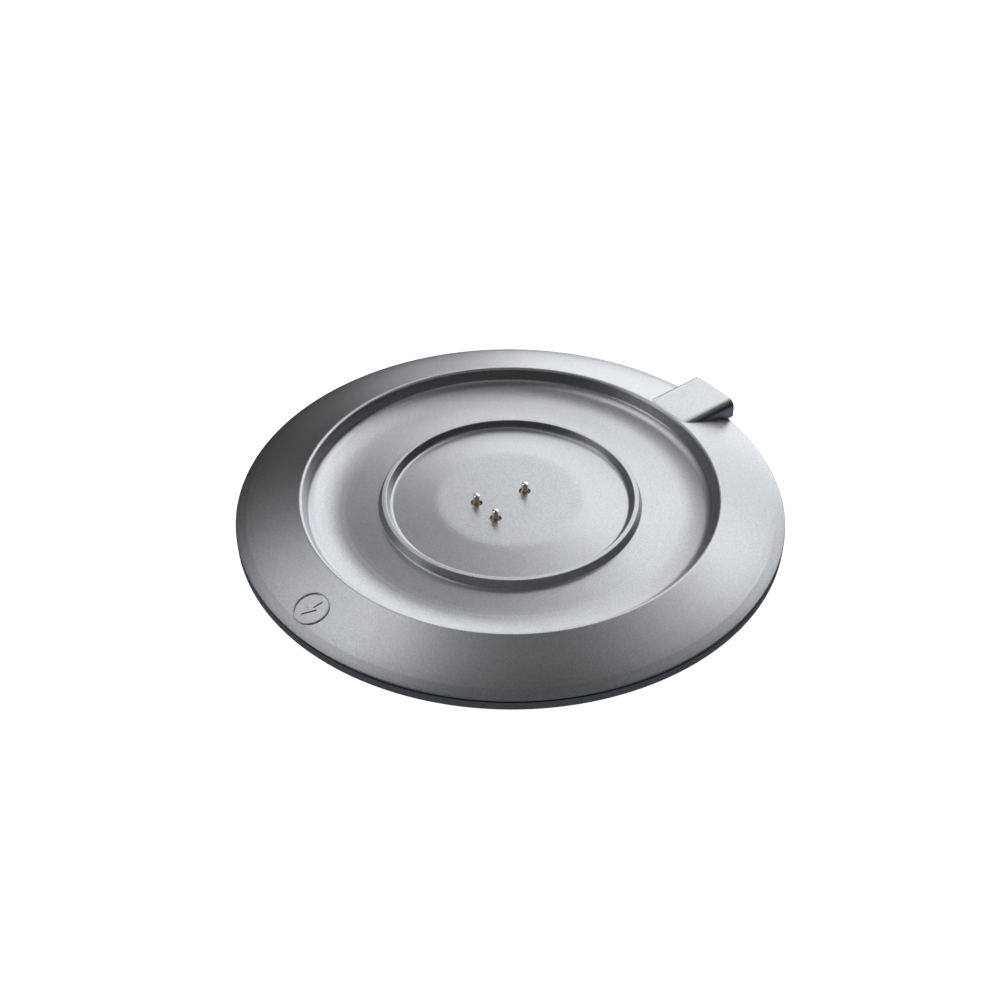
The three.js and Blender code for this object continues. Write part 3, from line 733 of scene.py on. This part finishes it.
def make_ballast():
    low, high = span("ballast_plate")
    outline = ring_outline(BALLAST_IN_R, BALLAST_OUT_R, 50, low.z, high.z, 0.2, 0.2)
    plate = lathe("ballast", outline, 200, closed=True)
    cut(plate, cuboid("gap", (-10, 0, 0), (10, 80, 8)), smooth_angle=20)
    for angle in PEG_ANGLES:
        cut(plate, lathe("peg_hole", rod(*PEG_HOLE), 24, on_circle(PEG_CIRCLE, angle)))
    return settle(plate, "ballast_plate", ZINC)


# ---- contact pins ---------------------------------------------------------------------
def make_pin(number):
    """A plunger with a shoulder below and a low dome on top."""
    node_name = f"contact_pin_{number}"
    low, high = span(node_name)
    ball = (PIN_R ** 2 + PIN_DOME ** 2) / (2 * PIN_DOME)
    rim_angle = math.asin(PIN_R / ball)
    angles = [rim_angle * (1 - i / DOME_STEPS) for i in range(DOME_STEPS + 1)]
    dome = [(ball * math.sin(a), high.z - ball * (1 - math.cos(a)), 0) for a in angles]
    outline = rounded([
        (0, low.z, 0),
        (PIN_SHOULDER_R, low.z, 0.08),
        (PIN_SHOULDER_R, low.z + PIN_SHOULDER_H, 0.08),
        (PIN_R, low.z + PIN_SHOULDER_H, 0),
        (PIN_R, high.z - PIN_DOME - 0.06, 0.05),
        *dome,
    ])
    pin = lathe(node_name + "_plunger", outline, 48, middle(node_name))
    return settle(pin, node_name, NICKEL, f"pin_{number}")


def make_barrel(number):
    """A turned sleeve with a flange, its mouth countersunk."""
    node_name = f"pin_barrel_{number}"
    low, high = span(node_name)
    sleeve, flange, bore, neck, end = 1.5, 1.95, 1.16, 1.03, 0.4
    outline = rounded([
        (0, low.z, 0),
        (sleeve, low.z, 0.15),
        (sleeve, 4.0, 0),
        (flange, 4.0, 0.05),
        (flange, 4.4, 0.1),
        (sleeve, 4.4, 0),
        (sleeve, high.z, 0.06),
        (1.38, high.z, 0.04),
        (1.08, high.z - 0.32, 0.02),
        (neck, high.z - end, 0),
        (bore, high.z - end, 0),
        (bore, low.z + end, 0.1),
        (0, low.z + end, 0),
    ])
    barrel = lathe(node_name + "_sleeve", outline, 48, middle(node_name))
    return settle(barrel, node_name, GOLD)


def make_spring(number):
    """A coil of round wire, from the bottom to the top of its CAD node."""
    node_name = f"pin_spring_{number}"
    low, high = span(node_name)
    centre = middle(f"pin_barrel_{number}")
    turns, radius, wire, per_turn, around = 4.5, 0.85, 0.11, 28, 10
    up = Vector((0, 0, 1))
    count = int(turns * per_turn)
    sections = []
    for i in range(count + 1):
        angle = math.tau * turns * i / count
        # the end turns lie nearly flat, as on a closed coil
        share = i / count
        height = low.z + wire + (high.z - low.z - 2 * wire) * (share - 0.05 * math.sin(math.tau * share))
        outward = Vector((math.cos(angle), math.sin(angle), 0))
        heart = Vector((centre.x, centre.y, height)) + outward * radius
        sections.append(tube_ring(heart, wire, outward, up, around))
    spring = loft(node_name + "_coil", sections, 40)
    settle(spring, node_name, SPRING)
    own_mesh(spring)
    return spring


def make_carrier():
    low, high = span("contact_carrier")
    outline = rounded([(0, low.z, 0), (CARRIER_R, low.z, 0.1), (CARRIER_R, high.z, 0.3), (0, high.z, 0)])
    carrier = lathe("carrier", outline, 96, middle("contact_carrier"))
    seat = stepped_rod(2.07, 1.62, 3, 4.52, 7)
    for number in range(1, PIN_COUNT + 1):
        cut(carrier, lathe("seat", seat, 40, middle(f"contact_pin_{number}")))
    return settle(carrier, "contact_carrier", BLACK_PLASTIC)


def make_gasket():
    low, high = span("contact_gasket")
    outline = ring_outline(GASKET_IN_R, CARRIER_R, 11, low.z, high.z, 0.15, 0.15)
    gasket = lathe("gasket", outline, 96, middle("contact_gasket"), closed=True)
    return settle(gasket, "contact_gasket", SILICONE)


# ---- boards ---------------------------------------------------------------------------
def make_main_board():
    low, high = span("main_board")
    corners = [(0, low.z, 0), (MAIN_BOARD_R, low.z, 0.08), (MAIN_BOARD_R, high.z, 0.08), (0, high.z, 0)]
    board = lathe("main_circuit_board", rounded(corners), 128)
    for number in (1, 2, 3):
        cut(board, lathe("hole", rod(*BARREL_HOLE), 40, middle(f"contact_pin_{number}")))
        cut(board, lathe("hole", rod(*SCREW_HOLE), 24, middle(f"board_screw_{number}")))
    return settle(board, "main_board", BOARD)


def make_port_board():
    low, high = span("port_board")
    board = cuboid("port_circuit_board", low, high, 0.08)
    for number in (1, 2):
        hole = lathe("hole", rod(*SCREW_HOLE), 24, middle(f"port_screw_{number}"))
        cut(board, hole, smooth_angle=BOX_SMOOTH_ANGLE)
    return settle(board, "port_board", BOARD)


def make_chip():
    """A square chip with a pin-one dimple and gull-wing legs along two sides."""
    low, high = span("controller_chip")
    leg_room = 0.35
    leg_half, leg_pitch, leg_count = 0.12, 0.6, 6
    body_low = Vector((low.x + leg_room, low.y, low.z + 0.1))
    chip = cuboid("chip", body_low, (high.x - leg_room, high.y, high.z), 0.08)
    dimple = [(0, high.z - 0.05), (0.25, high.z - 0.05), (0.3, high.z + 0.1), (0, high.z + 0.1)]
    place = (low.x + leg_room + 0.6, high.y - 0.6)
    cut(chip, lathe("dimple", dimple, 20, place), smooth_angle=BOX_SMOOTH_ANGLE)
    for side in (-1, 1):
        edge = low.x if side < 0 else high.x
        inner = edge - side * (leg_room + 0.2)
        x0, x1 = sorted((edge, inner))
        for i in range(leg_count):
            y = low.y + 0.5 + i * leg_pitch
            leg = cuboid("leg", (x0, y - leg_half, low.z), (x1, y + leg_half, low.z + 0.25), 0.03)
            cut(chip, leg, "UNION", BOX_SMOOTH_ANGLE)
    return settle(chip, "controller_chip", CHIP_RESIN)


def make_inductor():
    low, high = span("power_inductor")
    inductor = cuboid("inductor", low, high, 0.25)
    bottom, over = high.z - 0.12, high.z + 0.1
    dish = rounded([(0, bottom, 0), (1.6, bottom, 0.1), (1.75, over, 0), (0, over, 0)])
    cut(inductor, lathe("dish", dish, 40, middle("power_inductor")), smooth_angle=BOX_SMOOTH_ANGLE)
    return settle(inductor, "power_inductor", FERRITE)


def make_capacitor(number):
    node_name = f"capacitor_{number}"
    low, high = span(node_name)
    part = cuboid(node_name + "_chip", low, high, 0.09)
    finish = banded_ceramic(f"capacitor_finish_{number}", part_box(node_name), CERAMIC, TIN)
    return settle(part, node_name, finish)


def make_connector(node_name, outward):
    """A two-way lead socket. outward is the side, along Y, that the leads come from."""
    low, high = span(node_name)
    socket = cuboid(node_name + "_socket", low, high, 0.12)
    face = high.y if outward > 0 else low.y
    y0, y1 = sorted((face - outward * 0.5, face + outward * 0.2))
    centre_z = (low.z + high.z) / 2
    hole_half_x, hole_half_z = 0.62, 0.58
    for x in (-1.0, 1.0):
        near = (x - hole_half_x, y0, centre_z - hole_half_z)
        far = (x + hole_half_x, y1, centre_z + hole_half_z)
        cut(socket, cuboid("hole", near, far, 0.05), smooth_angle=BOX_SMOOTH_ANGLE)
    groove_half, groove_depth, over = 0.12, 0.15, 0.1
    for x in (-2.0, 0.0, 2.0):
        near = (x - groove_half, low.y - over, high.z - groove_depth)
        far = (x + groove_half, high.y + over, high.z + over)
        cut(socket, cuboid("groove", near, far), smooth_angle=BOX_SMOOTH_ANGLE)
    return settle(socket, node_name, WHITE_PLASTIC)


# ---- power port -----------------------------------------------------------------------
def make_port_shell():
    low, high = span("port_shell")
    width, height = high.x - low.x, high.z - low.z
    wall = 0.3
    z = middle("port_shell").z
    outer = [(low.y, -0.05), (low.y + 0.05, 0.0), (high.y - 0.1, 0.0), (high.y, -0.1)]
    shell = loft("receptacle", [place_xz(slot_outline(width, height, grow), y, z) for y, grow in outer])
    inner = [(low.y - 1, 0.0), (high.y - 0.12, 0.0), (high.y + 0.02, 0.12)]
    clear = (width - 2 * wall, height - 2 * wall)
    room = [place_xz(slot_outline(*clear, grow), y, z) for y, grow in inner]
    cut(shell, loft("room", room))
    return settle(shell, "port_shell", PORT_STEEL)


def make_port_tongue():
    """The insulator at the back of the receptacle and its tongue, with grooves between the contacts."""
    low, high = span("port_tongue")
    z = middle("port_tongue").z
    width, height = high.x - low.x, high.z - low.z
    plug = loft("tongue", [place_xz(slot_outline(width, height), y, z) for y in (low.y, low.y + 1.4)])
    blade_half, blade_half_t = 3.35, 0.35
    near = (-blade_half, low.y + 0.8, z - blade_half_t)
    far = (blade_half, high.y, z + blade_half_t)
    cut(plug, cuboid("blade", near, far, 0.1), "UNION", BOX_SMOOTH_ANGLE)
    groove_count, groove_pitch, groove_half = 12, 0.5, 0.1
    for side in (-1, 1):
        z0, z1 = sorted((z + side * 0.3, z + side * 0.5))
        for i in range(groove_count):
            x = -2.75 + groove_pitch * i
            groove = cuboid("groove", (x - groove_half, low.y + 2, z0), (x + groove_half, high.y - 0.6, z1))
            cut(plug, groove, smooth_angle=BOX_SMOOTH_ANGLE)
    return settle(plug, "port_tongue", BLACK_PLASTIC)


LEAD_R = 0.5
LEAD_ROUTE = [
    (1.0, 64.7, 4.95), (1.0, 62.6, 4.75), (1.4, 58.5, 3.3), (2.2, 50.0, 3.0), (1.7, 41.0, 3.0),
    (1.3, 34.0, 3.3), (1.05, 30.0, 4.15), (1.0, 27.6, 4.62), (1.0, 24.5, 4.65),
]


def smooth_route(points, per_leg=8):
    """A Catmull-Rom curve through the points."""
    padded = [2 * points[0] - points[1], *points, 2 * points[-1] - points[-2]]
    route = []
    for p0, p1, p2, p3 in zip(padded, padded[1:], padded[2:], padded[3:]):
        for i in range(per_leg):
            t = i / per_leg
            square = (2 * p0 - 5 * p1 + 4 * p2 - p3) * t ** 2
            cube = (3 * p1 - p0 - 3 * p2 + p3) * t ** 3
            route.append(0.5 * (2 * p1 + (p2 - p0) * t + square + cube))
    route.append(points[-1])
    return route


def make_lead(colour, side, material):
    """One insulated lead between the boards."""
    route = smooth_route([Vector((side * x, y, z)) for x, y, z in LEAD_ROUTE])
    sections = []
    for i, heart in enumerate(route):
        along = (route[min(i + 1, len(route) - 1)] - route[max(i - 1, 0)]).normalized()
        across = along.cross(Vector((0, 0, 1))).normalized()
        sections.append(tube_ring(heart, LEAD_R, across, across.cross(along), 16))
    lead = loft(f"lead_{colour}", sections, 40)
    return settle(lead, f"power_lead_{colour}", material)


# ---- screws ---------------------------------------------------------------------------
SCREWS = [  # group, how many, head radius, shank radius, head thickness, whether the head is up
    ("case", 4, 2.2, 1.08, 1.2, False),
    ("board", 3, 1.7, 0.92, 0.9, True),
    ("port", 2, 1.7, 0.92, 0.9, True),
]


def make_screw(node_name, head_r, shank_r, head_t, head_up):
    """A pan-head screw with a cross recess. head_up says whether the head is the upper end."""
    low, high = span(node_name)
    centre = middle(node_name)
    length = high.z - low.z
    tip, pitch, root_r = 0.5, 0.45, shank_r * 0.82
    outline = [(0, 0, 0), (shank_r * 0.5, 0, 0), (shank_r, tip, 0)]
    height = tip
    while height + pitch < length - head_t - 0.2:
        outline += [(root_r, height + pitch / 2, 0), (shank_r, height + pitch, 0)]
        height += pitch
    outline += [
        (shank_r, length - head_t, 0),
        (head_r, length - head_t, 0.08),
        (head_r, length, head_t * 0.45),
        (0, length, 0),
    ]
    points = [(r, low.z + z if head_up else high.z - z) for r, z in rounded(outline)]
    screw = lathe(node_name + "_thread", points, 32, centre)
    end = high.z if head_up else low.z
    depth = head_t * 0.55
    z0, z1 = sorted((end - depth if head_up else end + depth, end + 0.2 if head_up else end - 0.2))
    for across, along in ((0.16, 0.6), (0.6, 0.16)):
        half_x, half_y = head_r * across, head_r * along
        near = (centre.x - half_x, centre.y - half_y, z0)
        far = (centre.x + half_x, centre.y + half_y, z1)
        cut(screw, cuboid("recess", near, far), smooth_angle=30)
    return settle(screw, node_name, ZINC)


# ---- build ----------------------------------------------------------------------------
make_cover()
make_shell()
make_foot()
make_ballast()
for pin_number in range(1, PIN_COUNT + 1):
    make_pin(pin_number)
    make_barrel(pin_number)
    make_spring(pin_number)
make_carrier()
make_gasket()
make_main_board()
make_port_board()
make_chip()
make_inductor()
make_capacitor(1)
make_capacitor(2)
make_connector("board_connector", 1)
make_connector("port_connector", -1)
make_port_shell()
make_port_tongue()
make_lead("red", -1, LEAD_RED)
make_lead("black", 1, LEAD_BLACK)
for group, screw_count, *sizes in SCREWS:
    for screw_number in range(1, screw_count + 1):
        make_screw(f"{group}_screw_{screw_number}", *sizes)


# ---- stage ----------------------------------------------------------------------------
CAMERA_TURN = math.radians(51.3)  # the direction the camera looks in, measured from +Y
CAMERA_TILT = math.radians(39.45)
CAMERA_DISTANCE = 0.55
PICTURE_WIDTH = 1000
FOCAL_PIXELS = 1878  # focal length on a picture that wide
SENSOR = 36.0
AIM_LEFT = 0.00302  # how far the camera aims to the left of, and above, the middle of the rim
AIM_UP = 0.00146
STUDIO_R = 1.6
FLOOR_SIZE = 40
BACKDROP_R = 5.0
BOUNCE_SIZE = 3.0
BOUNCE_DEPTH = 0.3
BOUNCE_RADIANCE = 0.17
BOUNCE_COLOUR = (0.78, 0.88, 1.0)
WORLD_COLOUR = (0.85, 0.93, 1.0, 1)
WORLD_STRENGTH = 0.012
SOFTBOXES = [  # name, turn and tilt in degrees, width, height, radiance
    ("key_low", 20, 8, 1.2, 0.46, 2.06),
    ("key_left", -5, 22, 0.36, 0.7, 1.55),
    ("key_middle", 25, 25, 1.4, 0.48, 0.81),
    ("key_high", 28, 43, 1.24, 0.5, 2.03),
    ("key_top", 56, 60, 0.5, 0.42, 0.54),
    ("left_high", -50, 61, 0.62, 0.42, 2.16),
    ("left_middle", -50, 45, 0.62, 0.42, 0.93),
    ("front_high", 180, 58, 1.5, 0.8, 0.3),
    ("right_high", 115, 48, 1.0, 0.7, 0.25),
    ("left_low", -98, 28, 0.6, 0.46, 2.61),
]

ahead = Vector((-math.sin(CAMERA_TURN), math.cos(CAMERA_TURN), 0))
beside = Vector((math.cos(CAMERA_TURN), math.sin(CAMERA_TURN), 0))


def add_floor():
    """A pale floor, wide enough to fill the view, bright as a lit sweep of white paper."""
    bpy.ops.mesh.primitive_plane_add(size=FLOOR_SIZE, location=(0, 0, 0))
    floor = bpy.context.object
    floor.name = "floor"
    material, tree, shader = blank_material("paper")
    coords = object_coords(tree)
    mottle = noise(tree, coords, 60.0)
    tree.links.new(blend_colours(tree, mottle, (0.86, 0.86, 0.86), (0.9, 0.9, 0.9)),
                   shader.inputs["Base Color"])
    shader.inputs["Roughness"].default_value = 0.9
    shader.inputs["Specular IOR Level"].default_value = 0.1
    shader.inputs["Emission Color"].default_value = (1, 1, 1, 1)
    shader.inputs["Emission Strength"].default_value = 1.0
    floor.data.materials.append(material)
    # the dock mirrors the dim studio, not the bright paper it stands on
    floor.visible_glossy = False
    floor.visible_shadow = False


def add_backdrop():
    """White paper all round, which closes the view above the floor."""
    bm = bmesh.new()
    bmesh.ops.create_icosphere(bm, subdivisions=4, radius=BACKDROP_R / MM)
    backdrop = new_object("backdrop", bm)
    backdrop.data.materials.append(bpy.data.materials["paper"])
    backdrop.visible_glossy = False
    backdrop.visible_diffuse = False
    backdrop.visible_shadow = False


def add_bounce():
    """The weak light that comes up from the floor round the dock."""
    light = bpy.data.lights.new("floor_bounce", "AREA")
    light.shape = "SQUARE"
    light.size = BOUNCE_SIZE
    light.energy = math.pi * BOUNCE_SIZE ** 2 * BOUNCE_RADIANCE
    light.color = BOUNCE_COLOUR
    lamp = bpy.data.objects.new("floor_bounce", light)
    lamp.location = (0, 0, -BOUNCE_DEPTH)
    lamp.rotation_euler = (math.pi, 0, 0)
    lamp.visible_camera = False
    bpy.context.scene.collection.objects.link(lamp)


def add_softbox(name, turn, tilt, width, height, radiance):
    """A soft light aimed at the dock. turn is to the right of the camera's direction, in degrees."""
    turn, tilt = math.radians(turn), math.radians(tilt)
    level = ahead * math.cos(turn) + beside * math.sin(turn)
    place = (level * math.cos(tilt) + Vector((0, 0, math.sin(tilt)))) * STUDIO_R
    light = bpy.data.lights.new(name, "AREA")
    light.shape = "RECTANGLE"
    light.size = width
    light.size_y = height
    light.energy = math.pi * width * height * radiance
    lamp = bpy.data.objects.new(name, light)
    lamp.location = place
    lamp.rotation_euler = (-place).to_track_quat("-Z", "Y").to_euler()
    bpy.context.scene.collection.objects.link(lamp)


def add_camera():
    rim = Vector((0, 0, RIM_Z * MM))
    eye = rim - ahead * CAMERA_DISTANCE * math.cos(CAMERA_TILT)
    eye.z += CAMERA_DISTANCE * math.sin(CAMERA_TILT)
    up = beside.cross((rim - eye).normalized())
    aim = rim - beside * AIM_LEFT + up * AIM_UP
    lens = bpy.data.cameras.new("camera")
    lens.sensor_width = SENSOR
    lens.lens = SENSOR * FOCAL_PIXELS / PICTURE_WIDTH
    lens.clip_start = 0.01
    camera = bpy.data.objects.new("camera", lens)
    camera.location = eye
    camera.rotation_euler = (aim - eye).to_track_quat("-Z", "Y").to_euler()
    bpy.context.scene.collection.objects.link(camera)
    bpy.context.scene.camera = camera


def add_world():
    world = bpy.data.worlds.new("studio")
    world.use_nodes = True
    background = world.node_tree.nodes["Background"]
    background.inputs["Color"].default_value = WORLD_COLOUR
    background.inputs["Strength"].default_value = WORLD_STRENGTH
    bpy.context.scene.world = world


add_floor()
add_backdrop()
add_bounce()
for softbox in SOFTBOXES:
    add_softbox(*softbox)
add_camera()
add_world()
bpy.context.scene.view_settings.view_transform = "Standard"
